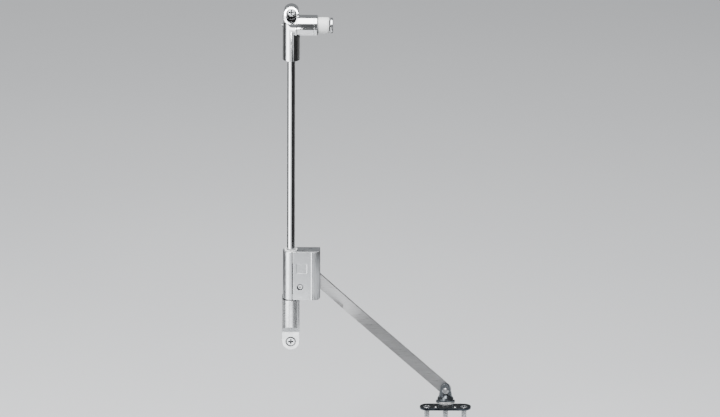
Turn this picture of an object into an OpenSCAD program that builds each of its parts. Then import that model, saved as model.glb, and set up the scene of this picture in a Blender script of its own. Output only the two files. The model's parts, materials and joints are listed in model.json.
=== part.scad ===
// Friction stay for a drop-down cabinet flap.
// Origin: centre of the lower fixing hole, on the side panel's face (the plane Y = 0).
// X runs to the cabinet's front, Y into the panel, Z up. The fitting stands out to -Y,
// and d is the distance in front of the panel, so Y = -d.

/* [Rail] */
// Distance between the two fixing screws
fixing_pitch = 300; // [280:1:340]
// Guide rod diameter
rod_d = 7; // [6:0.5:7]
// Distance of the rod's axis from the panel
rod_off = 10; // [10:0.5:11]
// Top rim of the foot bracket's tube
foot_top = 42; // [40:1:50]
// Outer radius of the foot bracket's tube
foot_r = 7.6; // [7.5:0.1:8.5]
// Outer radius of the top bracket's tube
top_r = 7.5; // [7.2:0.1:8]
// Length of the top bracket below its cross boss
top_len = 30.6; // [25:0.1:36]

/* [Fixing screws] */
// Shank diameter of the two fixing screws
fix_d = 5; // [4:0.1:5]
// Length of the shank in the panel
fix_len = 13; // [10:1:16]

/* [Catch] */
// Barrel diameter
barrel_d = 18; // [17:0.5:20]
// Barrel length
barrel_len = 18; // [17:0.1:20]
// Nose diameter
nose_d = 14; // [12:0.5:14]
// How far the nose stands out of the barrel
nose_out = 9.5; // [8:0.1:12]

/* [Brake housing] */
// Height of the housing
house_h = 43.7; // [42:0.1:50]
// Front corner of the housing in X
house_x = 25.2; // [24:0.1:27]
// Radius of the column round the rod
column_r = 7; // [6.8:0.1:7.2]
// Radius of the front right corner
corner = 5.6; // [5:0.1:6]
// Thickness of the front cover
cover_t = 2; // [1.5:0.1:2.5]

/* [Arm] */
// Length between the arm's pivots
arm_len = 157.6; // [140:0.1:180]
// Arm width
arm_w = 10; // [8:0.5:10]
// Arm thickness
arm_t = 2.5; // [2:0.1:2.5]
// Angle of the arm below the horizontal, flap open
arm_rest = 42.3; // [30:0.1:50]
// Offset of the crank in the arm
crank_off = 1.5; // [1.4:0.1:2]

/* [Flap foot] */
// Length of the base plate
plate_len = 44.3; // [42:0.1:50]
// Width of the base plate
plate_w = 13.4; // [13:0.1:15]
// Thickness of the base plate
plate_t = 1.8; // [1.6:0.1:3]
// Distance between the outer flap screws
flap_pitch = 32; // [32:1:34]
// Height of the foot pivot over the base plate's underside
eye_h = 16.5; // [16:0.1:18]

/* [Hidden] */
$fn = 64;
eps = 0.01;

rod_r = rod_d / 2;
fix_r = fix_d / 2;
// Countersunk head of the fixing screws: its radius and the radius of its seat
head_r = 3.4;
seat_r = head_r + 0.3;
hole_r = fix_r + 0.1;
neck_gap = 0.4;
cap_t = 0.3;
tip_len = 1.5;

// Foot bracket: lug thickness, the heights of the sloping cut over the lug, and the
// groove round the screw's head
lug_t = 6;
slope_z0 = 9.2;
slope_z1 = 18.7;
groove_out = 4.3;
groove_deep = 0.8;
foot_bore_z = 20;

// Top bracket: height of the cross boss and depth of the upper lug
boss_z = fixing_pitch - 10;
tube_z = boss_z - top_len;
upper_lug_t = 9.5;
upper_lug_r = 6.55;
recess_r = 4.2;
recess_floor = 5.5;
recess_drop = 2.1;
rod_top = boss_z - 7;

// Catch, along X at the height of the cross boss
barrel_x = 4.8;
cone_x = -1.9;
cone_r = 7.2;
collar_x = 3.2;
collar_r = 9.5;
barrel_r = barrel_d / 2;
barrel_end = barrel_x + barrel_len;
barrel_floor = 3;
barrel_lip = 1.5;
nose_r = nose_d / 2;
nose_end = barrel_end + nose_out;
chamber_r = nose_r + 1;
magnet_r = 4.6;
disc_r = nose_r - 0.35;
disc_x = nose_end + 0.9;
disc_t = 2.4;
catch_screw_r = 1.5;
catch_head_r = 1.75;

// Spring behind the plunger: a round wire along a helix
sleeve_x0 = barrel_end - barrel_lip - 2;
spring_turns = 5;
spring_steps = 14;
spring_sides = 8;
spring_wire = 0.45;
spring_r = 5.2;
spring_x0 = barrel_x + barrel_floor + spring_wire;
spring_x1 = sleeve_x0 - spring_wire;

// Brake housing
house_z = foot_top + 0.2;
house_top = house_z + house_h;
house_back = 3;
house_front = 17;
cover_x = 1.3;
cover_d = house_front - cover_t;
wall_d = 5;
cavity_x = 6.8;
cavity_end = house_x - 2;
cavity_front_end = house_x - corner - 0.4;
cover_boss_r = 3.5;
bead_x = house_x - corner - 1.4;
bead_r = 1.3;
bead_out = 0.3;
cavity_z0 = house_z + 2;
cavity_z1 = house_top - 2;
bush_r = 5.6;
bush_bore_r = rod_r + 0.05;

// Clamp round the rod and its adjusting screw
clamp_z0 = house_z + 4.8;
clamp_z1 = clamp_z0 + 13;
clamp_r = 5.4;
lining_r = 4.2;
clamp_slit = 1.2;
jaw_end = 11.4;
jaw_front = 13.1;
jaw_back = 6.9;
adjust_x = 8.07;
adjust_z = house_z + 11.9;
adjust_hole_r = 2.2;
adjust_head_r = 1.95;
adjust_r = 1.5;

// Arm pivot in the housing
pivot_x = 17;
pivot_z = house_z + 22.2;
pin_r = 2.5;
arm_mid = 8.5;
arm_back = arm_mid - arm_t / 2;
arm_front = arm_mid + arm_t / 2;
washer_r = 4;
washer_t = 0.5;
washer_gap = 0.1;
pin_boss_back = arm_back - washer_gap - washer_t;
circlip_d = arm_front + washer_gap + washer_t;
circlip_t = 0.6;
pin_boss_front = circlip_d + circlip_t;
groove_r = 2.1;
cover_screw_x = [10.6, 16.2];
cover_screw_z = house_top - 8;

// Foot pivot at the arm's far end
foot_x = pivot_x + arm_len * cos(arm_rest);
foot_z = pivot_z - arm_len * sin(arm_rest);
foot_back = arm_back + crank_off;
foot_front = arm_front + crank_off;
rivet_r = 1.75;
eye_back = foot_front + 0.6;
eye_front = eye_back + 3.55;
eye_r = 4.4;
eye_up = 1.9;
eye_low_r = 5.5;
eye_low = 3.2;
foot_d = eye_front - 2.5;
screw_d = foot_d + 1.2;
plate_bottom = foot_z - eye_h;
plate_top = plate_bottom + plate_t;
flange_z0 = plate_top + 5.9;
flange_t = 1.4;
flange_top = flange_z0 + flange_t;
dome_r = 7.05;
dome_h = 4.7;
dome_ball_r = (dome_r * dome_r + dome_h * dome_h) / (2 * dome_h);
arm_clear = arm_w / 2 + 0.35;
clip_half = 8.15;
flange_front = foot_d + 7.1;
leg_x = 5.4;
leg_t = 1.2;
leg_d0 = foot_d - 4;
pad_end = 9.9;
pad_t = 0.7;
pad_d0 = foot_d + 2.6;
pad_d1 = foot_d + 6.2;
stud_x = 8.1;
stud_d = foot_d + 4.4;
stud_r = 0.9;
stud_head_r = 1.4;
flap_screw_r = 2;
flap_screw_len = 14;

// Moves children so that their +Z runs towards the viewer from depth d at x, z
module at_face(x, d, z) { translate([x, -d, z]) rotate([90, 0, 0]) children(); }

// A cylinder along the viewing depth, from depth d0 to depth d1
module depth_cyl(x, z, d0, d1, r) { at_face(x, d0, z) cylinder(r = r, h = d1 - d0); }

// A cylinder along X in the catch's axis
module catch_cyl(x0, x1, r) {
    translate([x0, -rod_off, boss_z]) rotate([0, 90, 0]) cylinder(r = r, h = x1 - x0);
}

// A cylinder round the rod's axis
module rod_cyl(z0, z1, r) { translate([0, -rod_off, z0]) cylinder(r = r, h = z1 - z0); }

// A box given by its X, depth and Z limits
module depth_box(x0, x1, d0, d1, z0, z1) {
    translate([x0, -d1, z0]) cube([x1 - x0, d1 - d0, z1 - z0]);
}

// A cross recess sunk from z = 0
module cross_recess(size, depth) {
    translate([0, 0, -depth]) intersection() {
        union() {
            for (turn = [0, 90])
                rotate(turn) translate([-size / 2, -size / 8, 0]) cube([size, size / 4, depth + 1]);
            cylinder(r = size / 4.4, h = depth + 1);
        }
        cylinder(r1 = size / 4, r2 = size / 2 + 0.6, h = depth + 1);
    }
}

// A 45 degree countersunk screw with the head's rim at z = 0. Its neck passes through
// grip, its free shank stands out to -Z, and crown raises the middle of the head.
module countersunk_screw(head, shank, grip, free, recess, crown = 0) {
    neck = shank - neck_gap;
    cone = head - neck;
    difference() {
        union() {
            translate([0, 0, -cap_t]) cylinder(r = head, h = cap_t);
            translate([0, 0, -cap_t - cone]) cylinder(r1 = neck, r2 = head, h = cone);
            translate([0, 0, -grip]) cylinder(r = neck, h = grip - cap_t);
            translate([0, 0, tip_len - grip - free]) cylinder(r = shank, h = free - tip_len);
            translate([0, 0, -grip - free]) cylinder(r1 = shank * 0.35, r2 = shank, h = tip_len);
            if (crown > 0) let (ball = (head * head + crown * crown) / (2 * crown)) intersection() {
                translate([0, 0, crown - ball]) sphere(r = ball);
                translate([0, 0, -cap_t / 2]) cylinder(r = head, h = crown + cap_t);
            }
        }
        translate([0, 0, crown]) cross_recess(recess, cone + 0.6);
    }
}

// The hole and seat for such a screw, in the same place
module screw_seat(head, shank_hole, above, below) {
    translate([0, 0, -below]) cylinder(r = shank_hole, h = below + above);
    translate([0, 0, -(head - shank_hole)])
        cylinder(r1 = shank_hole, r2 = head, h = head - shank_hole);
    cylinder(r = head, h = above);
}

module guide_rod() {
    chamfer = 0.5;
    color("gainsboro") {
        rod_cyl(foot_bore_z + chamfer, rod_top - chamfer, rod_r);
        translate([0, -rod_off, foot_bore_z]) cylinder(r1 = rod_r - chamfer, r2 = rod_r, h = chamfer);
        translate([0, -rod_off, rod_top - chamfer])
            cylinder(r1 = rod_r, r2 = rod_r - chamfer, h = chamfer);
    }
}

// Socket tube with a flat back against the panel
module backed_tube(z0, z1, r) {
    translate([0, 0, z0]) linear_extrude(z1 - z0) union() {
        translate([0, -rod_off]) circle(r);
        translate([-r, -rod_off]) square([2 * r, rod_off]);
    }
}

module foot_bracket() {
    color("silver") difference() {
        union() {
            backed_tube(0, foot_top, foot_r);
            depth_cyl(0, 0, 0, lug_t, foot_r);
        }
        translate([-foot_r - 1, 0, 0]) rotate([90, 0, 90]) linear_extrude(2 * foot_r + 2)
            polygon([[-lug_t, -foot_r - 1], [-lug_t, slope_z0], [-20, slope_z1],
                [-20, -foot_r - 1]]);
        rod_cyl(foot_bore_z, foot_top + 1, rod_r);
        depth_cyl(0, 0, lug_t - groove_deep, lug_t + 1, groove_out);
        at_face(0, lug_t, 0) screw_seat(seat_r, hole_r, eps, lug_t + 1);
    }
}

module lower_fixing_screw() {
    color("lightsteelblue") at_face(0, lug_t, 0)
        countersunk_screw(head_r, fix_r, lug_t, fix_len, 4.6);
}

module upper_fixing_screw() {
    color("lightsteelblue") at_face(0, recess_floor, fixing_pitch)
        countersunk_screw(head_r, fix_r, recess_floor, fix_len, 4.6);
}

module top_bracket() {
    pad_top = fixing_pitch - 3;
    color("gainsboro") difference() {
        union() {
            backed_tube(tube_z, boss_z, top_r);
            depth_box(-top_r, top_r, 0, rod_off / 2, boss_z - 1, pad_top - 1);
            translate([cone_x, -rod_off, boss_z]) rotate([0, 90, 0])
                cylinder(r1 = cone_r, r2 = collar_r, h = collar_x - cone_x);
            catch_cyl(collar_x, barrel_x, collar_r);
            intersection() {
                rod_cyl(boss_z - eps, boss_z + top_r, top_r);
                catch_cyl(-top_r, top_r, top_r);
            }
            intersection() {
                backed_tube(boss_z - eps, pad_top, top_r);
                depth_box(-top_r, top_r, 0, upper_lug_t, boss_z - 1, pad_top - 1);
            }
            depth_cyl(0, fixing_pitch, 0, upper_lug_t, upper_lug_r);
            depth_box(-upper_lug_r, upper_lug_r, 0, upper_lug_t, boss_z, fixing_pitch);
        }
        rod_cyl(tube_z - 1, rod_top, rod_r);
        catch_cyl(barrel_x, barrel_x + 10, collar_r);
        catch_cyl(-top_r - 1, barrel_x + 1, catch_screw_r + 0.1);
        at_face(0, recess_floor, fixing_pitch) screw_seat(seat_r, hole_r, eps, recess_floor + 1);
        depth_cyl(0, fixing_pitch, recess_floor, 20, recess_r);
        depth_cyl(0, fixing_pitch - recess_drop, recess_floor, 20, recess_r);
        depth_box(-recess_r, recess_r, recess_floor, 20, fixing_pitch - recess_drop, fixing_pitch);
    }
}

module catch_barrel() {
    rim = 0.8;
    color("gainsboro") difference() {
        union() {
            catch_cyl(barrel_x, barrel_end - rim, barrel_r);
            translate([barrel_end - rim, -rod_off, boss_z]) rotate([0, 90, 0])
                cylinder(r1 = barrel_r, r2 = barrel_r - rim, h = rim);
        }
        catch_cyl(barrel_x + barrel_floor, barrel_end - barrel_lip, chamber_r);
        catch_cyl(barrel_x + barrel_floor, barrel_end + 1, nose_r + 0.05);
        catch_cyl(barrel_x - 1, barrel_x + barrel_floor + 1, catch_screw_r);
    }
}

module catch_screw() {
    color("lightsteelblue") difference() {
        union() {
            catch_cyl(-top_r - 0.7, -top_r, catch_head_r);
            catch_cyl(-top_r - eps, barrel_x + barrel_floor, catch_screw_r);
        }
        translate([-top_r - 1, -rod_off - 0.25, boss_z - 3]) cube([0.7, 0.5, 6]);
    }
}

// Points of one ring of the spring's wire
function spring_point(i, k) =
    let (turn = 360 * i / spring_steps, lean = 360 * k / spring_sides,
        reach = spring_r + spring_wire * cos(lean),
        rise = spring_x0 + (spring_x1 - spring_x0) * i / (spring_steps * spring_turns))
    [rise + spring_wire * sin(lean), reach * cos(turn), reach * sin(turn)];
module catch_spring() {
    rings = spring_steps * spring_turns;
    points = [for (i = [0:rings]) for (k = [0:spring_sides - 1]) spring_point(i, k)];
    walls = [for (i = [0:rings - 1]) for (k = [0:spring_sides - 1])
        let (next = (k + 1) % spring_sides, a = i * spring_sides, b = a + spring_sides)
        [a + k, b + k, b + next, a + next]];
    first = [for (k = [0:spring_sides - 1]) k];
    last = [for (k = [spring_sides - 1:-1:0]) rings * spring_sides + k];
    color("darkgray") translate([0, -rod_off, boss_z])
        polyhedron(points, concat(walls, [first], [last]), convexity = 10);
}

module plunger_sleeve() {
    rim = 0.5;
    color("whitesmoke") difference() {
        union() {
            catch_cyl(sleeve_x0, sleeve_x0 + 2, chamber_r - 0.1);
            catch_cyl(sleeve_x0, nose_end - rim, nose_r);
            translate([nose_end - rim, -rod_off, boss_z]) rotate([0, 90, 0])
                cylinder(r1 = nose_r, r2 = nose_r - rim, h = rim);
        }
        catch_cyl(sleeve_x0 + 2.5, nose_end + 1, magnet_r);
    }
}

module catch_magnet() { color("dimgray") catch_cyl(sleeve_x0 + 2.5, disc_x, magnet_r); }

module pole_disc() {
    rim = 0.4;
    color("silver") union() {
        catch_cyl(disc_x, disc_x + disc_t - rim, disc_r);
        translate([disc_x + disc_t - rim, -rod_off, boss_z]) rotate([0, 90, 0])
            cylinder(r1 = disc_r, r2 = disc_r - rim, h = rim);
    }
}

// Outline of the housing seen from above, with the column round the rod, a rounded
// corner and a fine bead where the rounding starts
module housing_outline() {
    union() {
        translate([0, -rod_off]) circle(column_r);
        translate([0, -house_front]) square([house_x - corner, house_front - house_back]);
        translate([0, corner - house_front])
            square([house_x, house_front - house_back - corner]);
        translate([house_x - corner, corner - house_front]) circle(corner);
        translate([bead_x, bead_r - house_front - bead_out]) circle(bead_r);
    }
}

// Room for the arm in the right wall and in the floor of the housing
module arm_slot() {
    depth_box(cavity_end - 1, house_x + 1, 6.9, 11.2, house_z - 1, pivot_z + 6.5);
    depth_box(11.5, house_x + 1, 6.9, 11.2, house_z - 1, cavity_z0 + 1);
}

module brake_housing() {
    color("lightgray") difference() {
        translate([0, 0, house_z]) linear_extrude(house_h) housing_outline();
        depth_box(cover_x - 0.35, house_x + 1, cover_d, house_front + 1, house_z - 1, house_top + 1);
        depth_box(cavity_x, cavity_end, wall_d, house_front - corner, cavity_z0, cavity_z1);
        depth_box(cavity_x, cavity_front_end, wall_d, cover_d + 1, cavity_z0, cavity_z1);
        depth_box(0, cavity_x + 1, jaw_back - 1.7, jaw_front + 0.9, clamp_z0, clamp_z1);
        depth_cyl(pivot_x, pivot_z, wall_d + 1, cover_d + 1, cover_boss_r + 0.1);
        depth_cyl(adjust_x, adjust_z, wall_d, cover_d + 1, adjust_hole_r);
        rod_cyl(house_z - 1, house_top + 1, bush_r);
        arm_slot();
        depth_cyl(pivot_x, pivot_z, house_back - 1, wall_d + 1, pin_r);
        for (x = cover_screw_x)
            translate([x, -house_back, cover_screw_z]) rotate([-90, 0, 0])
                screw_seat(2.6, 1.6, 1, 4);
    }
    color("lightgray") difference() {
        depth_cyl(pivot_x, pivot_z, wall_d, pin_boss_back, washer_r);
        depth_cyl(pivot_x, pivot_z, wall_d - 1, pin_boss_back + 1, pin_r);
    }
}

module front_cover() {
    badge = [4.6, 13.8, house_z + 24.6, house_z + 33];
    color("lightgray") difference() {
        union() {
            intersection() {
                translate([0, 0, house_z]) linear_extrude(house_h) housing_outline();
                depth_box(cover_x, house_x + 1, cover_d, house_front + 1, house_z, house_top);
            }
            for (x = cover_screw_x) depth_cyl(x, cover_screw_z, wall_d, cover_d + eps, 2.7);
            depth_cyl(pivot_x, pivot_z, pin_boss_front, cover_d + eps, cover_boss_r);
        }
        for (x = cover_screw_x) depth_cyl(x, cover_screw_z, wall_d - 1, 12, 1.5);
        depth_cyl(pivot_x, pivot_z, pin_boss_front - 1, 16, pin_r);
        depth_cyl(adjust_x, adjust_z, cover_d - 1, house_front + 1, adjust_hole_r);
        rod_cyl(house_z - 1, house_top + 1, bush_r);
        depth_box(badge[0], badge[1], house_front - 0.3, house_front + 1, badge[2], badge[3]);
    }
}

module cover_screws() {
    color("lightsteelblue") for (x = cover_screw_x)
        translate([x, -house_back, cover_screw_z]) rotate([-90, 0, 0]) difference() {
            union() {
                translate([0, 0, -1.1]) cylinder(r1 = 1.5, r2 = 2.6, h = 1.1);
                translate([0, 0, -9]) cylinder(r = 1.5, h = 8);
            }
            cross_recess(3, 1.4);
        }
}

module bush(z0, z1) {
    difference() {
        rod_cyl(z0, z1, bush_r);
        rod_cyl(z0 - 1, z1 + 1, bush_bore_r);
    }
}

module upper_bush() {
    collar = 1.1;
    color("whitesmoke") difference() {
        bush(house_top - 11, house_top + collar);
        translate([0, -rod_off, house_top - 0.4])
            cylinder(r1 = bush_bore_r, r2 = bush_r - 0.5, h = collar + 0.5);
    }
}

module lower_bush() { color("whitesmoke") bush(house_z, clamp_z0); }

module clamp_shape() {
    rod_cyl(clamp_z0, clamp_z1, clamp_r);
    depth_box(0, jaw_end, jaw_back, jaw_front, clamp_z0, clamp_z1);
}

module friction_clamp() {
    color("dimgray") difference() {
        clamp_shape();
        rod_cyl(clamp_z0 - 1, clamp_z1 + 1, lining_r);
        depth_box(0, jaw_end + 1, rod_off - clamp_slit / 2, rod_off + clamp_slit / 2,
            clamp_z0 - 1, clamp_z1 + 1);
        depth_cyl(adjust_x, adjust_z, jaw_back - 1, jaw_front + 1, adjust_r + 0.05);
    }
}

module brake_lining() {
    color("saddlebrown") difference() {
        rod_cyl(clamp_z0, clamp_z1, lining_r);
        rod_cyl(clamp_z0 - 1, clamp_z1 + 1, bush_bore_r);
        depth_box(0, lining_r + 1, rod_off - clamp_slit / 2, rod_off + clamp_slit / 2,
            clamp_z0 - 1, clamp_z1 + 1);
    }
}

module clamp_nut() {
    color("silver") difference() {
        at_face(adjust_x, jaw_back - 1.7, adjust_z) cylinder(r = 3.1, h = 1.7, $fn = 6);
        depth_cyl(adjust_x, adjust_z, wall_d - 1, jaw_back + 1, adjust_r + 0.05);
    }
}

module spring_washers() {
    color("silver") difference() {
        at_face(adjust_x, jaw_front, adjust_z) cylinder(r1 = 3, r2 = 2.2, h = 0.6);
        depth_cyl(adjust_x, adjust_z, jaw_front - 1, jaw_front + 1, adjust_r + 0.05);
    }
}

module adjusting_screw() {
    head_d0 = jaw_front + 0.65;
    head_d1 = 16.3;
    color("lightsteelblue") difference() {
        union() {
            depth_cyl(adjust_x, adjust_z, wall_d + 0.2, head_d0 + eps, adjust_r);
            depth_cyl(adjust_x, adjust_z, head_d0, head_d1, adjust_head_r);
        }
        at_face(adjust_x, head_d1 - 1.4, adjust_z) cylinder(r = 1.2, h = 2, $fn = 6);
    }
}

module arm_pivot_pin() {
    color("silver") difference() {
        depth_cyl(pivot_x, pivot_z, house_back, 16, pin_r);
        difference() {
            depth_cyl(pivot_x, pivot_z, circlip_d, circlip_d + circlip_t, pin_r + 1);
            depth_cyl(pivot_x, pivot_z, circlip_d - 1, circlip_d + circlip_t + 1, groove_r);
        }
    }
}

module thrust_washer(d0) {
    difference() {
        depth_cyl(pivot_x, pivot_z, d0, d0 + washer_t, washer_r);
        depth_cyl(pivot_x, pivot_z, d0 - 1, d0 + washer_t + 1, pin_r);
    }
}

module pivot_washers() {
    color("silver") {
        thrust_washer(pin_boss_back);
        thrust_washer(arm_front + washer_gap);
    }
}

module pivot_circlip() {
    color("dimgray") difference() {
        depth_cyl(pivot_x, pivot_z, circlip_d, circlip_d + circlip_t, washer_r - 0.2);
        depth_cyl(pivot_x, pivot_z, circlip_d - 1, circlip_d + circlip_t + 1, groove_r);
        depth_box(pivot_x - 1.3, pivot_x + 1.3, circlip_d - 1, circlip_d + circlip_t + 1,
            pivot_z, pivot_z + 6);
    }
}

// The arm lies along local +X and is cranked in depth between two bends
module stay_arm() {
    bend0 = 10;
    bend1 = 45;
    half = arm_w / 2;
    color("darkgray") translate([pivot_x, 0, pivot_z]) rotate([0, arm_rest, 0]) difference() {
        intersection() {
            translate([0, 0, -half]) linear_extrude(arm_w) polygon([
                [-half - 1, -arm_back], [bend0, -arm_back], [bend1, -foot_back],
                [arm_len + half + 1, -foot_back], [arm_len + half + 1, -foot_front],
                [bend1, -foot_front], [bend0, -arm_front], [-half - 1, -arm_front]]);
            rotate([90, 0, 0]) linear_extrude(20) union() {
                circle(half);
                translate([0, -half]) square([arm_len, arm_w]);
                translate([arm_len, 0]) circle(half);
            }
        }
        depth_cyl(0, 0, 0, 20, pin_r + 0.05);
        depth_cyl(arm_len, 0, 0, 20, rivet_r + 0.05);
    }
}

// Outline of the eye, seen from the front, relative to the foot pivot
module eye_outline() {
    union() {
        translate([0, eye_up]) circle(eye_r);
        translate([0, -eye_low]) circle(eye_low_r);
        translate([-eye_low_r, flange_top - foot_z])
            square([2 * eye_low_r, foot_z - flange_top - eye_low]);
    }
}

module eye_blank() {
    at_face(foot_x, eye_back, foot_z) linear_extrude(eye_front - eye_back) eye_outline();
}

module hinge_eye() {
    color("slategray") difference() {
        eye_blank();
        depth_cyl(foot_x, foot_z, eye_back - 1, eye_front + 1, rivet_r);
    }
}

module eye_rivet() {
    color("silver") {
        depth_cyl(foot_x, foot_z, foot_back - 0.1, eye_front, rivet_r);
        depth_cyl(foot_x, foot_z, foot_back - 1, foot_back - 0.1, 3.2);
        at_face(foot_x, eye_front, foot_z) cylinder(r1 = 3, r2 = 2.3, h = 0.9);
    }
}

module eye_washer() {
    color("silver") difference() {
        depth_cyl(foot_x, foot_z, foot_front + 0.1, eye_back, 3.6);
        depth_cyl(foot_x, foot_z, foot_front - 1, eye_back + 1, rivet_r);
    }
}

module clip_body() {
    color("darkslategray") difference() {
        union() {
            intersection() {
                translate([foot_x, -foot_d, flange_top + dome_h - dome_ball_r])
                    sphere(r = dome_ball_r);
                translate([foot_x, -foot_d, flange_z0 + 0.5])
                    cylinder(r = dome_r, h = dome_h + flange_t);
            }
            translate([foot_x, -foot_d, flange_z0]) cylinder(r = dome_r, h = flange_t);
            depth_box(foot_x - clip_half, foot_x + clip_half, flange_front - 4, flange_front,
                flange_z0, flange_top);
            for (side = [-1, 1]) mirror_about_foot(side) {
                depth_box(leg_x, leg_x + leg_t, leg_d0, pad_d1, plate_top, flange_z0 + eps);
                depth_box(leg_x, pad_end, pad_d0, pad_d1, plate_top, plate_top + pad_t);
            }
        }
        eye_blank();
        depth_box(foot_x - 9, foot_x + 9, foot_back - 0.6, eye_back,
            foot_z - arm_clear, foot_z + 1);
        for (side = [-1, 1]) mirror_about_foot(side) translate([stud_x, -stud_d, plate_top - 1])
            cylinder(r = stud_r, h = 3);
    }
}

// Children are given for the right side, measured from the foot's middle plane in X
module mirror_about_foot(side) {
    translate([foot_x, 0, 0]) mirror([side < 0 ? 1 : 0, 0, 0]) children();
}

module clip_studs() {
    head_t = 0.8;
    head_z = plate_top + pad_t;
    ball = (stud_head_r * stud_head_r + head_t * head_t) / (2 * head_t);
    color("silver") for (side = [-1, 1]) mirror_about_foot(side)
        translate([stud_x, -stud_d, 0]) {
            translate([0, 0, plate_bottom + 0.2])
                cylinder(r = stud_r, h = plate_t + pad_t - 0.2 + eps);
            intersection() {
                translate([0, 0, head_z + head_t - ball]) sphere(r = ball);
                translate([0, 0, head_z]) cylinder(r = stud_head_r, h = head_t);
            }
        }
}

module clip_spring() {
    chord = 8;
    sag = 2.4;
    thick = 0.9;
    arc_r = (chord * chord + sag * sag) / (2 * sag);
    color("silver") intersection() {
        difference() {
            depth_cyl(foot_x, flange_z0 - sag + arc_r, pad_d1, flange_front, arc_r);
            depth_cyl(foot_x, flange_z0 - sag + arc_r, pad_d1 - 1, flange_front + 1, arc_r - thick);
        }
        depth_box(foot_x - chord, foot_x + chord, pad_d1 - 1, flange_front + 1, plate_top, flange_z0);
    }
}

module base_plate() {
    half = plate_len / 2 - plate_w / 2;
    color("darkslategray") difference() {
        translate([foot_x, -foot_d, plate_bottom]) linear_extrude(plate_t) union() {
            square([2 * half, plate_w], center = true);
            for (side = [-1, 1]) translate([side * half, 0]) circle(plate_w / 2);
        }
        for (side = [-1, 0, 1]) translate([foot_x + side * flap_pitch / 2, -screw_d, plate_top])
            screw_seat(3.4, flap_screw_r + 0.1, 2, plate_t + 1);
        for (side = [-1, 1]) mirror_about_foot(side)
            translate([stud_x, -stud_d, plate_bottom + 0.2]) cylinder(r = stud_r, h = plate_t);
    }
}

module flap_screws() {
    crowns = [0.8, 0.3, 0.8];
    color("silver") for (side = [-1, 0, 1])
        translate([foot_x + side * flap_pitch / 2, -screw_d, plate_top])
            countersunk_screw(3.1, flap_screw_r, plate_t, flap_screw_len, 3.8, crowns[side + 1]);
}

guide_rod();
foot_bracket();
lower_fixing_screw();
top_bracket();
upper_fixing_screw();
catch_barrel();
catch_screw();
catch_spring();
plunger_sleeve();
catch_magnet();
pole_disc();
brake_housing();
front_cover();
cover_screws();
upper_bush();
lower_bush();
friction_clamp();
brake_lining();
clamp_nut();
spring_washers();
arm_pivot_pin();
pivot_washers();
pivot_circlip();
adjusting_screw();
stay_arm();
hinge_eye();
eye_rivet();
eye_washer();
clip_body();
clip_studs();
clip_spring();
base_plate();
flap_screws();
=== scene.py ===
"""Looks of a friction stay for a drop-down cabinet flap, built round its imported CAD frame."""

import json
import math

import bmesh
import bpy
from mathutils import Matrix, Quaternion, Vector

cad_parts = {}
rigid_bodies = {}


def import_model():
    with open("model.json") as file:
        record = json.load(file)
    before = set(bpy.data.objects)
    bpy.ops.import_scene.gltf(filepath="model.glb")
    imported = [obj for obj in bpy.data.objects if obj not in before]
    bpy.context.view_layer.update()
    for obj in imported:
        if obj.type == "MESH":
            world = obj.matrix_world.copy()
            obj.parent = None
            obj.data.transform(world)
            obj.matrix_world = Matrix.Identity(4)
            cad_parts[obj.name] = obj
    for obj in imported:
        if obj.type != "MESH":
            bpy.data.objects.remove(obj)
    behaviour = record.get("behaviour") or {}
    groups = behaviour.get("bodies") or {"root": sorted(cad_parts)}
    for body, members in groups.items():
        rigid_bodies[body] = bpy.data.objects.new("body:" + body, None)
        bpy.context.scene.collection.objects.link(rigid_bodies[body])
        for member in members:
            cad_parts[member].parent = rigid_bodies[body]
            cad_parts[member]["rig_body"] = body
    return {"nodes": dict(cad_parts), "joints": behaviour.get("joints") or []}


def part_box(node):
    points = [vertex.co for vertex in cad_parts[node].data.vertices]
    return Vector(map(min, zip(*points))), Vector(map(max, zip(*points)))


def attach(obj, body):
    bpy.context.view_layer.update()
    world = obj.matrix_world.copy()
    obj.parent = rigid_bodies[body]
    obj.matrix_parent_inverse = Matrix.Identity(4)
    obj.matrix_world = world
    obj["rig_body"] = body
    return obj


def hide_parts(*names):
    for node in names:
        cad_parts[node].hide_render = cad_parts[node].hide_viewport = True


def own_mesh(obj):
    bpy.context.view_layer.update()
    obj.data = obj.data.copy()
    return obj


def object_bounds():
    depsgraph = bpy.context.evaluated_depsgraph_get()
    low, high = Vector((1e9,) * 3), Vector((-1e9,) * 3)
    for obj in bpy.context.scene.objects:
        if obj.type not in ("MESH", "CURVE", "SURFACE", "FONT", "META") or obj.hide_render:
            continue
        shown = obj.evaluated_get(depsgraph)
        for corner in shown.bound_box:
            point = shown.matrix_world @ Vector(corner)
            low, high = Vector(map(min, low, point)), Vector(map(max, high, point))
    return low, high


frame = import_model()
cad_low, cad_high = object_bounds()
nodes = frame["nodes"]
joints = {joint["name"]: joint for joint in frame["joints"]}
MM = 0.001
X, Z = 0, 2     # places in a vector


# ---------------------------------------------------------------- materials

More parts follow.
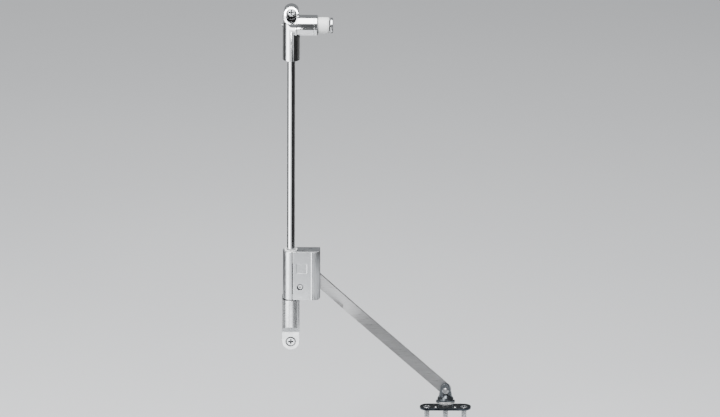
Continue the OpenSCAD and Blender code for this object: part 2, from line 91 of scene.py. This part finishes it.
class Shader:
    """A principled material with the texture nodes that drive it, in object coordinates."""

    MIX_COLOURS, MIX_RESULT = (6, 7), 2     # a Mix node's sockets for colours

    def __init__(self, name, metallic=1.0):
        self.material = bpy.data.materials.new(name)
        self.material.use_nodes = True
        self.tree = self.material.node_tree
        self.surface = self.tree.nodes["Principled BSDF"]
        self.surface.inputs["Metallic"].default_value = metallic
        self.place = self.add("ShaderNodeTexCoord").outputs["Object"]
        self.normal = None

    def add(self, kind):
        return self.tree.nodes.new(kind)

    def link(self, output, socket):
        self.tree.links.new(output, socket)

    def stretched(self, scale, rotation=(0, 0, 0)):
        """Object coordinates turned and scaled, for a grain that runs one way."""
        mapping = self.add("ShaderNodeMapping")
        mapping.inputs["Rotation"].default_value = rotation
        mapping.inputs["Scale"].default_value = scale
        self.link(self.place, mapping.inputs["Vector"])
        return mapping.outputs["Vector"]

    def noise(self, scale, detail=4.0, vector=None):
        node = self.add("ShaderNodeTexNoise")
        node.inputs["Scale"].default_value = scale
        node.inputs["Detail"].default_value = detail
        self.link(vector or self.place, node.inputs["Vector"])
        return node.outputs["Fac"]

    def between(self, factor, low, high, start=0.3, stop=0.7):
        """The factor from start to stop, mapped to low to high."""
        node = self.add("ShaderNodeMapRange")
        settings = {"From Min": start, "From Max": stop, "To Min": low, "To Max": high}
        for socket, value in settings.items():
            node.inputs[socket].default_value = value
        self.link(factor, node.inputs["Value"])
        return node.outputs["Result"]

    def mixed(self, factor, first, second):
        """A colour between two colours or colour outputs."""
        node = self.add("ShaderNodeMix")
        node.data_type = "RGBA"
        self.link(factor, node.inputs["Factor"])
        for index, colour in zip(self.MIX_COLOURS, (first, second)):
            if isinstance(colour, bpy.types.NodeSocket):
                self.link(colour, node.inputs[index])
            else:
                node.inputs[index].default_value = (*colour, 1)
        return node.outputs[self.MIX_RESULT]

    def bump(self, height, strength, distance):
        """Adds a layer of relief on those that are there."""
        node = self.add("ShaderNodeBump")
        node.inputs["Strength"].default_value = strength
        node.inputs["Distance"].default_value = distance
        self.link(height, node.inputs["Height"])
        if self.normal:
            self.link(self.normal, node.inputs["Normal"])
        self.normal = node.outputs["Normal"]

    def shelter(self, reach):
        """1 in the open, falling to 0 deep in grooves, recesses and seams."""
        node = self.add("ShaderNodeAmbientOcclusion")
        node.samples = 8
        node.inputs["Distance"].default_value = reach
        return node.outputs["AO"]

    def finish(self, colour, roughness):
        """Links what was made to the surface and returns the material."""
        self.link(colour, self.surface.inputs["Base Color"])
        self.link(roughness, self.surface.inputs["Roughness"])
        if self.normal:
            self.link(self.normal, self.surface.inputs["Normal"])
        return self.material


def shade(colour, factor):
    """The colour made lighter or darker."""
    return tuple(min(1.0, channel * factor) for channel in colour)


def plated(name, colour, rough, grain=0.02, peel=0.05, worn=0.0, specks=900.0, painted_shade=0.5, reach=3.5):
    """Plated or cast metal: clouded tone, fine grain, orange peel, lighter edges, painted shade in
    seams.

    rough is the span of the roughness, specks the scale of the relief, painted_shade the tone that
    the colour falls to as painted shade in a seam and reach how far from it that shade falls, in
    millimetres.
    """
    shader = Shader(name)
    cloud, handling = shader.noise(70.0), shader.noise(240.0, 3.0)
    coarse, fine = shader.noise(specks, 3.0), shader.noise(specks * 3, 6.0)
    tone = shader.mixed(shader.between(cloud, 0, 1), shade(colour, 0.94), shade(colour, 1.04))
    tone = shader.mixed(shader.between(fine, 0, grain * 5), tone, shade(colour, 0.72))
    if worn:
        edge = shader.add("ShaderNodeNewGeometry").outputs["Pointiness"]
        tone = shader.mixed(shader.between(edge, 0, worn, 0.5, 0.56), tone, shade(colour, 1.3))
    # Painted shade: the colour falls to a darker tone where ambient occlusion finds seams, recesses
    # and gaps between parts.
    open_side = shader.between(shader.shelter(reach * MM), 0, 1, 0.45, 0.88)
    tone = shader.mixed(open_side, shade(colour, painted_shade), tone)
    shader.bump(coarse, peel, 0.06 * MM)
    shader.bump(fine, grain * 4, 0.02 * MM)
    return shader.finish(tone, shader.between(handling, *rough))


def brushed(name, colour, rough, scale, rotation=(0, 0, 0)):
    """Ground or drawn metal: fine lines along the axis with the smallest scale, if there is one.

    The lines also scatter the roughness.
    """
    shader = Shader(name)
    lines = shader.noise(1.0, 5.0, shader.stretched(scale, rotation))
    wide = shader.noise(90.0)
    tone = shader.mixed(shader.between(lines, 0, 1), shade(colour, 0.80), shade(colour, 1.10))
    tone = shader.mixed(shader.between(wide, 0, 0.35), tone, shade(colour, 0.9))
    shader.bump(lines, 0.25, 0.03 * MM)
    return shader.finish(tone, shader.between(lines, *rough))


def moulded(name, colour, rough, texture=0.15):
    """Moulded plastic: fine spark texture, faint flow marks and a little dust in the tone."""
    shader = Shader(name, metallic=0.0)
    flow, fine = shader.noise(120.0), shader.noise(3500.0, 4.0)
    tone = shader.mixed(shader.between(flow, 0, 1), shade(colour, 0.95), shade(colour, 1.02))
    tone = shader.mixed(shader.between(fine, 0, 0.2), tone, shade(colour, 0.85))
    shader.bump(fine, texture, 0.02 * MM)
    shader.surface.inputs["IOR"].default_value = 1.49
    return shader.finish(tone, shader.between(fine, *rough))


arm_pin = Vector(joints["arm_hinge"]["pos_m"])
foot_pin = Vector(joints["foot_hinge"]["pos_m"])
arm_run = Vector((foot_pin.x - arm_pin.x, 0, foot_pin.z - arm_pin.z))
arm_slope = math.atan2(-arm_run.z, arm_run.x)

CHROME = (0.80, 0.81, 0.82)
# Every plated metal below is darkened with painted shade in its seams and recesses, to the tone and
# over the reach given to it.
chrome = plated("polished_chrome", CHROME, (0.05, 0.12), grain=0.01, peel=0.012)
bright_cast = plated("chrome_on_zinc", CHROME, (0.08, 0.18),
                     grain=0.015, worn=0.4, painted_shade=0.05, reach=7.0)
satin_cast = plated("satin_nickel_on_zinc", (0.64, 0.65, 0.66), (0.22, 0.34),
                    peel=0.08, worn=0.4, painted_shade=0.04, reach=5.0)
housing_finish = plated("fine_satin_nickel", (0.61, 0.625, 0.64), (0.26, 0.40),
                        grain=0.05, peel=0.28, worn=0.5, specks=1300.0, painted_shade=0.12)
bright_screw = plated("bright_zinc", (0.74, 0.75, 0.76), (0.14, 0.26),
                      grain=0.03, peel=0.08, worn=0.3, specks=1500.0, painted_shade=0.8)
screw_finish = plated("zinc_plated_steel", (0.55, 0.565, 0.58), (0.18, 0.34),
                      grain=0.04, peel=0.10, worn=0.4, specks=1500.0, painted_shade=0.06, reach=6.0)
arm_finish = brushed("ground_steel", (0.57, 0.57, 0.575), (0.26, 0.44),
                     (120.0, 2600.0, 2600.0), (0, -arm_slope, 0))
wire_finish = brushed("drawn_spring_steel", (0.55, 0.56, 0.57), (0.18, 0.32), (900.0, 900.0, 900.0))
nose_finish = moulded("light_grey_plastic", (0.72, 0.73, 0.73), (0.28, 0.40))
bush_finish = moulded("natural_bush_plastic", (0.78, 0.79, 0.79), (0.25, 0.38))
clamp_finish = moulded("black_clamp_plastic", (0.035, 0.035, 0.038), (0.4, 0.55))
lining_finish = moulded("pressed_fibre", (0.20, 0.12, 0.07), (0.7, 0.9), texture=0.5)
magnet_finish = plated("ferrite", (0.06, 0.06, 0.065), (0.45, 0.65), grain=0.05, peel=0.3)
pole_finish = plated("nickel_plated_pole", (0.66, 0.67, 0.68), (0.14, 0.24), peel=0.04, worn=0.3)
eye_finish = plated("grey_zinc", (0.24, 0.26, 0.28), (0.16, 0.28),
                    grain=0.04, peel=0.20, worn=0.5, specks=1300.0, painted_shade=0.2)
dark_nickel = plated("dark_nickel", (0.10, 0.11, 0.12), (0.16, 0.30),
                     peel=0.10, worn=0.7, specks=1200.0)
black_nickel = plated("black_nickel", (0.035, 0.043, 0.052), (0.12, 0.24),
                      peel=0.10, worn=0.7, specks=1200.0)


# ---------------------------------------------------------------- geometry

def piece(name, mesh, node, material):
    """Puts a finished mesh in place of a CAD node, on that node's body."""
    obj = bpy.data.objects.new(name, mesh)
    bpy.context.scene.collection.objects.link(obj)
    mesh.materials.clear()
    mesh.materials.append(material)
    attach(obj, nodes[node]["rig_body"])
    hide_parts(node)
    return obj


def mesh_from(bm, name):
    """The finished mesh of a bmesh, with its faces turned outwards."""
    mesh = bpy.data.meshes.new(name)
    bmesh.ops.recalc_face_normals(bm, faces=bm.faces)
    bm.to_mesh(mesh)
    bm.free()
    return mesh


def modified(mesh, *steps):
    """The mesh after a stack of modifiers, each given as (type, settings)."""
    holder = bpy.data.objects.new("holder", mesh)
    bpy.context.scene.collection.objects.link(holder)
    for kind, settings in steps:
        modifier = holder.modifiers.new(kind.lower(), kind)
        for key, value in settings.items():
            setattr(modifier, key, value)
    evaluated = holder.evaluated_get(bpy.context.evaluated_depsgraph_get())
    result = bpy.data.meshes.new_from_object(evaluated)
    bpy.data.objects.remove(holder)
    return result


def smooth(mesh):
    """The mesh with smooth shading on all its faces."""
    for face in mesh.polygons:
        face.use_smooth = True
    return mesh


def crisp(mesh):
    """Smooth shading that keeps flats flat and bends only round the small radii."""
    return modified(smooth(mesh), ("WEIGHTED_NORMAL", {"weight": 80}))


def skin(bm, rings):
    """Joins a row of rings of vertices into a tube with closed ends."""
    sides = len(rings[0])
    for a, b in zip(rings, rings[1:]):
        for k in range(sides):
            bm.faces.new((a[k], a[(k + 1) % sides], b[(k + 1) % sides], b[k]))
    bm.faces.new(rings[0])
    bm.faces.new(reversed(rings[-1]))


def helix_ridge(bm, origin, axis, radius, height, pitch, length):
    """Adds a screw thread: a three-sided ridge along a helix that fades out at both ends."""
    per_turn, fading_turns = 28, 0.7
    root, flank = -0.25 * MM, pitch * 0.28
    count = int(length / pitch * per_turn)
    turn = Vector((0, 0, 1)).rotation_difference(axis).to_matrix()
    rings = []
    for i in range(count + 1):
        angle = math.tau * i / per_turn
        fade = min(1.0, i / (per_turn * fading_turns), (count - i) / (per_turn * fading_turns))
        out = Vector((math.cos(angle), math.sin(angle), 0))
        ring = []
        for reach, rise in ((root, -flank), (height * fade, 0), (root, flank)):
            local = out * (radius + reach) + Vector((0, 0, length * i / count + rise))
            ring.append(bm.verts.new(origin + turn @ local))
        rings.append(ring)
    skin(bm, rings)


NEAR = 0.05 * MM    # a vertex this close to an edge or a hole belongs to it


def drawn_back(axis, edge, depth):
    """Draws the end face at that edge back, so that the joint line shows."""
    def ease(vert):
        if abs(vert.co[axis] - edge) < NEAR:
            vert.co[axis] += depth
    return ease


def widened(x, z, radius, extra):
    """Opens a hole along Y to the clearance that a screw's head has."""
    def ease(vert):
        out = Vector((vert.co.x - x, 0, vert.co.z - z))
        if out.length < radius + NEAR:
            vert.co += out.normalized() * extra
    return ease


def cast(node, material, voxel, soften=4, keep=0.35, threads=(), eased=()):
    """A casting or pressing from a CAD node: its edges get the small radii of the real one.

    voxel is the size of the new mesh's cells in millimetres, soften how often it is smoothed and
    keep the share of its faces that stays. threads and eased are added to the node's shape first.
    """
    bm = bmesh.new()
    bm.from_mesh(nodes[node].data)
    bmesh.ops.remove_doubles(bm, verts=bm.verts, dist=0.002 * MM)
    for ease in eased:
        for vert in bm.verts:
            ease(vert)
    for thread in threads:
        helix_ridge(bm, *thread)
    mesh = modified(
        mesh_from(bm, node),
        ("REMESH", {"mode": "VOXEL", "voxel_size": voxel * MM, "adaptivity": 0.0}),
        ("SMOOTH", {"factor": 0.5, "iterations": soften}),
        ("DECIMATE", {"ratio": keep}),
    )
    return piece(node + "_finished", crisp(mesh), node, material)


def rounded(points, radius, steps=5):
    """An open line of (along, radius) points with its inner corners eased by a curve."""
    longest_share = 0.45    # of a side, so that the curves at its two ends stay apart
    result = [points[0]]
    for before, corner, after in zip(points, points[1:], points[2:]):
        middle = Vector(corner)
        to_before, to_after = Vector(before) - middle, Vector(after) - middle
        reach = min(radius, to_before.length * longest_share, to_after.length * longest_share)
        start = middle + to_before.normalized() * reach
        stop = middle + to_after.normalized() * reach
        for i in range(steps + 1):
            t = i / steps
            result.append(tuple(start * (1 - t) ** 2 + middle * 2 * t * (1 - t) + stop * t ** 2))
    return result + [points[-1]]


def turned(name, profile, origin, axis):
    """A turned part: (along, radius) points in metres swept round an axis."""
    steps, on_axis = 120, 1e-6
    bm = bmesh.new()
    turn = Vector((0, 0, 1)).rotation_difference(Vector(axis)).to_matrix()
    rings = []
    for along, radius in profile:
        ring = []
        for k in range(steps if radius > on_axis else 1):
            angle = math.tau * k / steps
            local = Vector((radius * math.cos(angle), radius * math.sin(angle), along))
            ring.append(bm.verts.new(Vector(origin) + turn @ local))
        rings.append(ring)
    for a, b in zip(rings, rings[1:]):
        for k in range(steps):
            corners = [a[k % len(a)], b[k % len(b)], b[(k + 1) % len(b)], a[(k + 1) % len(a)]]
            corners = [v for i, v in enumerate(corners) if v not in corners[:i]]
            if len(corners) > 2:
                bm.faces.new(corners)
    bmesh.ops.remove_doubles(bm, verts=bm.verts, dist=1e-7)
    return crisp(mesh_from(bm, name))


def middle_of(node):
    low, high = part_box(node)
    return (low + high) / 2


# ---------------------------------------------------------------- rail

def guide_rod():
    low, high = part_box("guide_rod")
    centre, radius, length = middle_of("guide_rod"), (high.x - low.x) / 2, high.z - low.z
    chamfer, stretches = 0.5 * MM, 12
    outline = [(0, 0), (0, radius - chamfer), (chamfer, radius)]
    outline += [(length * i / stretches, radius) for i in range(1, stretches)]
    outline += [(length - chamfer, radius), (length, radius - chamfer), (length, 0)]
    mesh = turned("guide_rod", outline, (centre.x, centre.y, low.z), (0, 0, 1))
    piece("guide_rod_finished", mesh, "guide_rod", chrome)


def fixing_screw(node):
    """A countersunk screw with a thread that runs back into the cabinet's panel."""
    shank, depth, pitch = 2.5 * MM, 0.5 * MM, 1.8 * MM
    thread_start, plain_tip = 0.6 * MM, 1.8 * MM
    centre, end = middle_of(node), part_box(node)[1].y
    start = Vector((centre.x, thread_start, centre.z))
    length = end - thread_start - plain_tip
    thread = (start, Vector((0, 1, 0)), shank, depth, pitch, length)
    cast(node, screw_finish, voxel=0.11, soften=3, keep=0.5, threads=[thread])


def flap_screws():
    """Three countersunk screws with threads that run down into the flap."""
    spacing, shank, depth, pitch = 16 * MM, 2 * MM, 0.35 * MM, 1.5 * MM
    below_plate, length = 0.5 * MM, 11 * MM
    centre, plate_low = middle_of("flap_screws"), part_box("base_plate")[0]
    threads = []
    for side in (-1, 0, 1):
        start = Vector((centre.x + side * spacing, centre.y, plate_low.z - below_plate))
        threads.append((start, Vector((0, 0, -1)), shank, depth, pitch, length))
    cast("flap_screws", screw_finish, voxel=0.11, soften=3, keep=0.5, threads=threads)


def catch_spring():
    """The plunger's coil spring, on a mesh of its own."""
    low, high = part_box("catch_spring")
    centre, wire = middle_of("catch_spring"), 0.45 * MM
    turns, per_turn, sides = 5, 40, 10
    radius, count = (high.z - low.z) / 2 - wire, turns * per_turn
    bm = bmesh.new()
    rings = []
    for i in range(count + 1):
        along = low.x + wire + (high.x - low.x - 2 * wire) * i / count
        turn = math.tau * i / per_turn
        ring = []
        for k in range(sides):
            lean = math.tau * k / sides
            reach = radius + wire * math.cos(lean)
            place = (along + wire * math.sin(lean),
                     centre.y + reach * math.cos(turn), centre.z + reach * math.sin(turn))
            ring.append(bm.verts.new(place))
        rings.append(ring)
    skin(bm, rings)
    mesh = smooth(mesh_from(bm, "catch_spring"))
    spring = piece("catch_spring_finished", mesh, "catch_spring", wire_finish)
    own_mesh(spring)


def catch_barrel():
    """The catch's chromed tube, with a fine groove near its rounded mouth."""
    low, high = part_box("catch_barrel")
    centre, radius, length = middle_of("catch_barrel"), (high.z - low.z) / 2, high.x - low.x
    bore, floor, rim, lip, inner_chamfer = 7.05 * MM, 3 * MM, 0.8 * MM, 0.35 * MM, 0.5 * MM
    groove_end, groove_length, groove_depth = length - 3.2 * MM, 0.5 * MM, 0.12 * MM
    groove_slope = 0.1 * MM
    groove_start = groove_end - groove_length
    outline = [
        (floor, 0), (floor, bore), (length - inner_chamfer, bore), (length, bore + lip),
        (length, radius - rim), (length - rim, radius), (groove_end, radius),
        (groove_end - groove_slope, radius - groove_depth),
        (groove_start + groove_slope, radius - groove_depth), (groove_start, radius),
        (length * 0.5, radius), (0, radius), (0, 0),
    ]
    mesh = turned("catch_barrel", rounded(outline, 0.35 * MM), (low.x, centre.y, centre.z), (1, 0, 0))
    piece("catch_barrel_finished", mesh, "catch_barrel", chrome)


def plunger_sleeve():
    """The catch's plastic nose: an inner flange, a plain outside and a stepped end."""
    low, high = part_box("plunger_sleeve")
    centre, length = middle_of("plunger_sleeve"), high.x - low.x
    radius, flange, flange_length, floor = 7 * MM, 7.85 * MM, 2 * MM, 3 * MM
    bore, mouth, mouth_depth = 4.6 * MM, 4.7 * MM, 0.6 * MM
    step_start, step_end, step, rim = 1.3 * MM, 1.1 * MM, 0.18 * MM, 0.7 * MM
    outline = [
        (0, 0), (0, flange), (flange_length, flange), (flange_length, radius), (length * 0.5, radius),
        (length - step_start, radius), (length - step_end, radius - step),
        (length - mouth_depth, radius - step), (length, radius - rim),
        (length, mouth), (length - mouth_depth, bore), (floor, bore), (floor, 0),
    ]
    mesh = turned("plunger_sleeve", rounded(outline, 0.3 * MM), (low.x, centre.y, centre.z), (1, 0, 0))
    piece("plunger_sleeve_finished", mesh, "plunger_sleeve", nose_finish)


def pole_disc():
    """The catch's steel face: a dished ring round a low boss."""
    low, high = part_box("pole_disc")
    centre, radius, length = middle_of("plunger_sleeve"), (high.z - low.z) / 2, high.x - low.x
    back_chamfer, front_chamfer = 0.3 * MM, 0.5 * MM
    dish, boss = length - 0.25 * MM, length - 0.1 * MM
    outline = [
        (0, 0), (0, radius - back_chamfer), (back_chamfer, radius), (length - front_chamfer, radius),
        (length, radius - front_chamfer), (length, radius * 0.62), (dish, radius * 0.56),
        (dish, radius * 0.3), (boss, radius * 0.24), (boss, 0),
    ]
    mesh = turned("pole_disc", rounded(outline, 0.25 * MM), (low.x, centre.y, centre.z), (1, 0, 0))
    piece("pole_disc_finished", mesh, "pole_disc", pole_finish)


# ---------------------------------------------------------------- arm

CRANK_START, CRANK_END = 10 * MM, 45 * MM   # from the pivot in the brake


def crank(along, offset, soft=2.5 * MM):
    """Depth of the arm's cranked line at a place along it, with soft bends."""
    samples = [along + soft * k / 4 for k in range(-4, 5)]
    rises = [min(1.0, max(0.0, (s - CRANK_START) / (CRANK_END - CRANK_START))) for s in samples]
    return offset * sum(rises) / len(rises)


def flat_with_holes(loops, thickness, ease):
    """A flat pressing in XY from closed loops of points, with eased edges, as a mesh."""
    curve = bpy.data.curves.new("outline", "CURVE")
    curve.dimensions = "2D"
    curve.fill_mode = "BOTH"
    curve.extrude = thickness / 2 - ease
    curve.bevel_depth = ease
    curve.bevel_resolution = 3
    curve.offset = -ease
    for loop in loops:
        spline = curve.splines.new("POLY")
        spline.points.add(len(loop) - 1)
        for point, (x, y) in zip(spline.points, loop):
            point.co = (x, y, 0, 1)
        spline.use_cyclic_u = True
    holder = bpy.data.objects.new("outline", curve)
    bpy.context.scene.collection.objects.link(holder)
    evaluated = holder.evaluated_get(bpy.context.evaluated_depsgraph_get())
    mesh = bpy.data.meshes.new_from_object(evaluated)
    bpy.data.objects.remove(holder)
    return mesh


def circle(x, radius, count=48):
    """Points round a hole centred on the arm's line."""
    turns = [math.tau * k / count for k in range(count)]
    return [(x + radius * math.cos(turn), radius * math.sin(turn)) for turn in turns]


def round_end(x, radius, start, count=32):
    """Points round an end of the arm: a half circle from that angle on."""
    turns = [start + math.pi * k / (count - 1) for k in range(count)]
    return [(x + radius * math.cos(turn), radius * math.sin(turn)) for turn in turns]


def stay_arm():
    length, half, thick = arm_run.length, 5 * MM, 2.5 * MM
    pivot_hole, rivet_hole, edge = 2.55 * MM, 1.8 * MM, 0.22 * MM
    outer = round_end(0, half, math.pi / 2) + round_end(length, half, -math.pi / 2)
    mesh = flat_with_holes([outer, circle(0, pivot_hole), circle(length, rivet_hole)], thick, edge)
    bm = bmesh.new()
    bm.from_mesh(mesh)
    bmesh.ops.remove_doubles(bm, verts=bm.verts, dist=1e-7)
    fine, coarse = 0.75 * MM, 12 * MM   # rows of vertices lie close together across the two bends
    cuts = [CRANK_START - 3 * MM + fine * k for k in range(10)]
    cuts += [CRANK_START * 2, CRANK_START * 3]
    cuts += [CRANK_END - 4 * MM + fine * k for k in range(12)]
    cuts += [CRANK_END + 15 * MM + coarse * k for k in range(8)]
    for along in cuts:
        geometry = bm.verts[:] + bm.edges[:] + bm.faces[:]
        bmesh.ops.bisect_plane(bm, geom=geometry, plane_co=(along, 0, 0), plane_no=(1, 0, 0))
    low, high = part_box("stay_arm")
    back_depth, front_depth = -high.y, -low.y
    offset = front_depth - back_depth - thick
    for vert in bm.verts:
        vert.co.z += back_depth + thick / 2 + crank(vert.co.x, offset)
    slope = Matrix.Rotation(arm_slope, 4, "Y") @ Matrix.Rotation(math.pi / 2, 4, "X")
    bm.transform(Matrix.Translation((arm_pin.x, 0, arm_pin.z)) @ slope)
    mesh = crisp(mesh_from(bm, "stay_arm"))
    piece("stay_arm_finished", mesh, "stay_arm", arm_finish)


# ---------------------------------------------------------------- putting the pieces in place

def foot_bracket():
    """The lower bracket, whose top stands a little back from the brake above it."""
    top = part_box("foot_bracket")[1].z
    gap = drawn_back(Z, top, -0.45 * MM)
    cast("foot_bracket", satin_cast, voxel=0.2, soften=12, eased=[gap])


def front_cover():
    """The brake's cover: a joint line along the column and a ring round the adjusting screw."""
    left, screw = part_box("front_cover")[0].x, middle_of("adjusting_screw")
    seam = drawn_back(X, left, 0.45 * MM)
    ring = widened(screw.x, screw.z, 2.2 * MM, 0.55 * MM)
    cast("front_cover", housing_finish, voxel=0.16, soften=9, eased=[seam, ring])


def paint(material, *names):
    """Gives CAD nodes that are shown as they are their material."""
    for name in names:
        for slot in nodes[name].material_slots:
            slot.material = material


guide_rod()
catch_spring()
fixing_screw("lower_fixing_screw")
fixing_screw("upper_fixing_screw")
flap_screws()
catch_barrel()
plunger_sleeve()
pole_disc()
stay_arm()
foot_bracket()
cast("top_bracket", bright_cast, voxel=0.18, soften=10)
cast("brake_housing", housing_finish, voxel=0.2, soften=6)
front_cover()
cast("upper_bush", bush_finish, voxel=0.16, soften=3)
cast("adjusting_screw", bright_screw, voxel=0.09, soften=3)
cast("catch_screw", screw_finish, voxel=0.12, soften=3)
cast("hinge_eye", eye_finish, voxel=0.12)
cast("eye_rivet", screw_finish, voxel=0.11)
cast("clip_body", dark_nickel, voxel=0.13)
cast("clip_spring", pole_finish, voxel=0.1, soften=3)
cast("clip_studs", pole_finish, voxel=0.09, soften=3)
cast("base_plate", black_nickel, voxel=0.15)
cast("cover_screws", screw_finish, voxel=0.11, soften=3)
paint(bush_finish, "lower_bush")
paint(clamp_finish, "friction_clamp")
paint(lining_finish, "brake_lining")
paint(magnet_finish, "catch_magnet")
paint(screw_finish, "clamp_nut", "arm_pivot_pin", "pivot_washers", "eye_washer")
paint(wire_finish, "spring_washers", "pivot_circlip")


# ---------------------------------------------------------------- stage, lights and camera

def floor():
    """A pale floor just below the foot when the arm hangs straight down."""
    half, gap = 6.0, 1 * MM
    mesh = bpy.data.meshes.new("floor")
    foot_reach = foot_pin.z - cad_low.z
    z = arm_pin.z - arm_run.length - foot_reach - gap
    corners = [(-half, -half), (half, -half), (half, half), (-half, half)]
    mesh.from_pydata([(x, y, z) for x, y in corners], [], [(0, 1, 2, 3)])
    obj = bpy.data.objects.new("floor", mesh)
    bpy.context.scene.collection.objects.link(obj)
    shader = Shader("pale_floor", metallic=0.0)
    cloud = shader.noise(3.0)
    tone = shader.mixed(shader.between(cloud, 0, 1), (0.70, 0.71, 0.725), (0.72, 0.73, 0.74))
    mesh.materials.append(shader.finish(tone, shader.between(cloud, 0.75, 0.85)))


def card(name, foot, head, low, high, brightness):
    """An upright studio card from foot to head in plan; it only shows in reflections."""
    mesh = bpy.data.meshes.new(name)
    mesh.from_pydata([(*foot, low), (*head, low), (*head, high), (*foot, high)], [], [(0, 1, 2, 3)])
    obj = bpy.data.objects.new(name, mesh)
    bpy.context.scene.collection.objects.link(obj)
    shader = Shader(name, metallic=0.0)
    cloud = shader.noise(2.0)
    tone = shader.mixed(cloud, (brightness,) * 3, (brightness * 1.1,) * 3)
    mesh.materials.append(shader.finish(tone, shader.between(cloud, 0.9, 1.0)))
    obj.visible_camera = False
    obj.visible_shadow = False


def area_light(name, centre, size, power, aim, spread=180):
    """A light panel of that width and height in metres, and power in watts, turned to its aim."""
    data = bpy.data.lights.new(name, "AREA")
    data.shape = "RECTANGLE"
    data.size, data.size_y = size
    data.energy = power
    data.spread = math.radians(spread)
    light = bpy.data.objects.new(name, data)
    bpy.context.scene.collection.objects.link(light)
    light.location = centre
    light.rotation_mode = "QUATERNION"
    light.rotation_quaternion = (Vector(aim) - Vector(centre)).to_track_quat("-Z", "Y")
    light.visible_camera = False


def world():
    """An even, faintly blue light from all sides."""
    sky = bpy.data.worlds.new("studio")
    bpy.context.scene.world = sky
    sky.use_nodes = True
    background = sky.node_tree.nodes["Background"]
    background.inputs["Color"].default_value = (0.80, 0.82, 0.85, 1)
    background.inputs["Strength"].default_value = 0.35


def lights():
    """Two large lights for the whole stay, and small boxes for the brake and the two lugs."""
    area_light("key", (-0.9, -1.3, 1.5), (0.9, 0.9), 44, (0.03, 0, 0.13))
    area_light("overhead", (0.02, -0.30, 1.04), (0.7, 1.0), 21, (0.02, -0.01, 0.29))
    area_light("side_box", (-0.19, -0.20, 0.08), (0.20, 0.30), 0.28, (0, -0.01, 0.10), spread=90)
    area_light("low_box", (0.0, -0.13, -0.04), (0.08, 0.07), 0.004, (0, -0.004, 0.006), spread=50)
    area_light("lug_box", (-0.004, -0.16, 0.25), (0.03, 0.03), 0.0045, (0, -0.0095, 0.30), spread=50)


def flags():
    """Cards behind and beside the stay make the dark stripes of the rod, the tubes and the barrel.

    The low ones are for the foot bracket, where the stripes are weaker. arm_flag tones the arm and
    front_flag the upper bracket.
    """
    behind, left, right, top = 0.02, -0.12, 0.10, 0.275
    dark, darkest = 0.06, 0.01
    card("left_back_flag", (left, behind), (-0.022, behind), 0.03, top, dark)
    card("left_back_low_flag", (left, behind), (-0.022, behind), -0.07, 0.03, 0.30)
    card("right_back_flag", (0.03, behind), (0.14, behind), 0.055, top, dark)
    card("right_back_low_flag", (0.03, behind), (0.07, behind), 0.0, 0.055, dark)
    card("left_flag", (left, -0.04), (left, behind), 0.0, top, dark)
    card("left_low_flag", (left, -0.04), (left, behind), -0.07, 0.0, 0.35)
    card("right_far_flag", (0.036, -0.27), (0.062, -0.12), 0.0, 0.215, darkest)
    card("right_near_flag", (0.062, -0.12), (right, -0.02), 0.045, 0.258, darkest)
    card("right_end_flag", (right, -0.02), (right, behind), 0.045, top, 0.04)
    card("low_flag", (0.020, -0.05), (0.045, -0.012), -0.05, 0.036, 0.35)
    card("arm_flag", (0.050, -0.055), (0.145, -0.055), -0.10, 0.014, 0.65)
    card("front_flag", (0.0058, -0.15), (0.034, -0.15), 0.200, 0.365, 0.22)


def camera():
    """A long lens from the front and a little above, as the photo was taken."""
    distance, elevation, roll = 10.3, math.radians(20), 0.004   # metres and radians
    aim = Vector((0.0592, -0.010, 0.1238))
    data = bpy.data.cameras.new("camera")
    data.lens, data.sensor_width = 600, 36
    data.clip_start, data.clip_end = 0.1, 50
    obj = bpy.data.objects.new("camera", data)
    bpy.context.scene.collection.objects.link(obj)
    back = Vector((0, -math.cos(elevation), math.sin(elevation)))
    obj.location = aim + back * distance
    obj.rotation_mode = "QUATERNION"
    obj.rotation_quaternion = (-back).to_track_quat("-Z", "Y") @ Quaternion((0, 0, 1), roll)
    bpy.context.scene.camera = obj


camera()
floor()
world()
lights()
flags()
